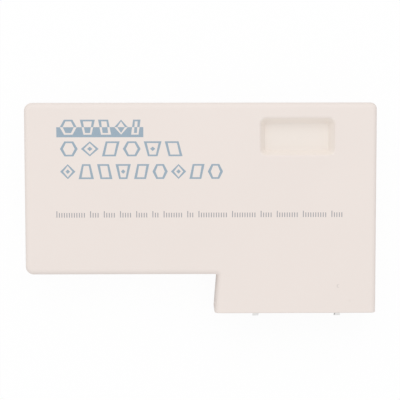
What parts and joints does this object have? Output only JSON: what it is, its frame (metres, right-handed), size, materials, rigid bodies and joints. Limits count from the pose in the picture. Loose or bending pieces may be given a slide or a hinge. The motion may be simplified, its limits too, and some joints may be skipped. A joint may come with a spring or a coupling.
{
  "type": "plug-in electronic cartridge",
  "caption": "Flat L-shaped ivory plastic cartridge with a finger recess in its face; its short leg is an open plug that shields the card edge of the circuit board inside.",
  "frame": {"origin": "on the surface that the cartridge lies on, under the middle of its box", "axes": "+X to the right as seen from the printed face, +Y away from the plug, +Z out of the printed face"},
  "size_m": [0.145, 0.0886, 0.02],
  "materials": {
    "case_plastic": "fine matt ivory moulding",
    "screw_steel": "zinc-plated steel",
    "board_green": "green solder mask over glass epoxy",
    "contact_gold": "gold plate",
    "strip_nickel": "nickel-plated spring steel",
    "chip_black": "moulded epoxy",
    "lead_tin": "tin plate",
    "ceramic_tan": "fired ceramic",
    "resistor_black": "glazed ceramic",
    "can_sleeve": "shrunk sleeve on an aluminium can",
    "bung_rubber": "moulded rubber"
  },
  "bodies": {
    "root": {"front_case": "case_plastic", "back_case": "case_plastic", "case_screws": "screw_steel", "circuit_board": "board_green", "front_contacts": "contact_gold", "back_contacts": "contact_gold", "earth_strip": "strip_nickel", "rom_a_body": "chip_black", "rom_a_leads": "lead_tin", "rom_b_body": "chip_black", "rom_b_leads": "lead_tin", "latch_body": "chip_black", "latch_leads": "lead_tin", "buffer_body": "chip_black", "buffer_leads": "lead_tin", "decoder_body": "chip_black", "decoder_leads": "lead_tin", "gate_body": "chip_black", "gate_leads": "lead_tin", "chip_capacitors": "ceramic_tan", "chip_capacitor_ends": "lead_tin", "chip_resistors": "resistor_black", "chip_resistor_ends": "lead_tin", "tank_capacitor": "can_sleeve", "tank_capacitor_bung": "bung_rubber", "tank_capacitor_leads": "lead_tin"}
  },
  "joints": []
}
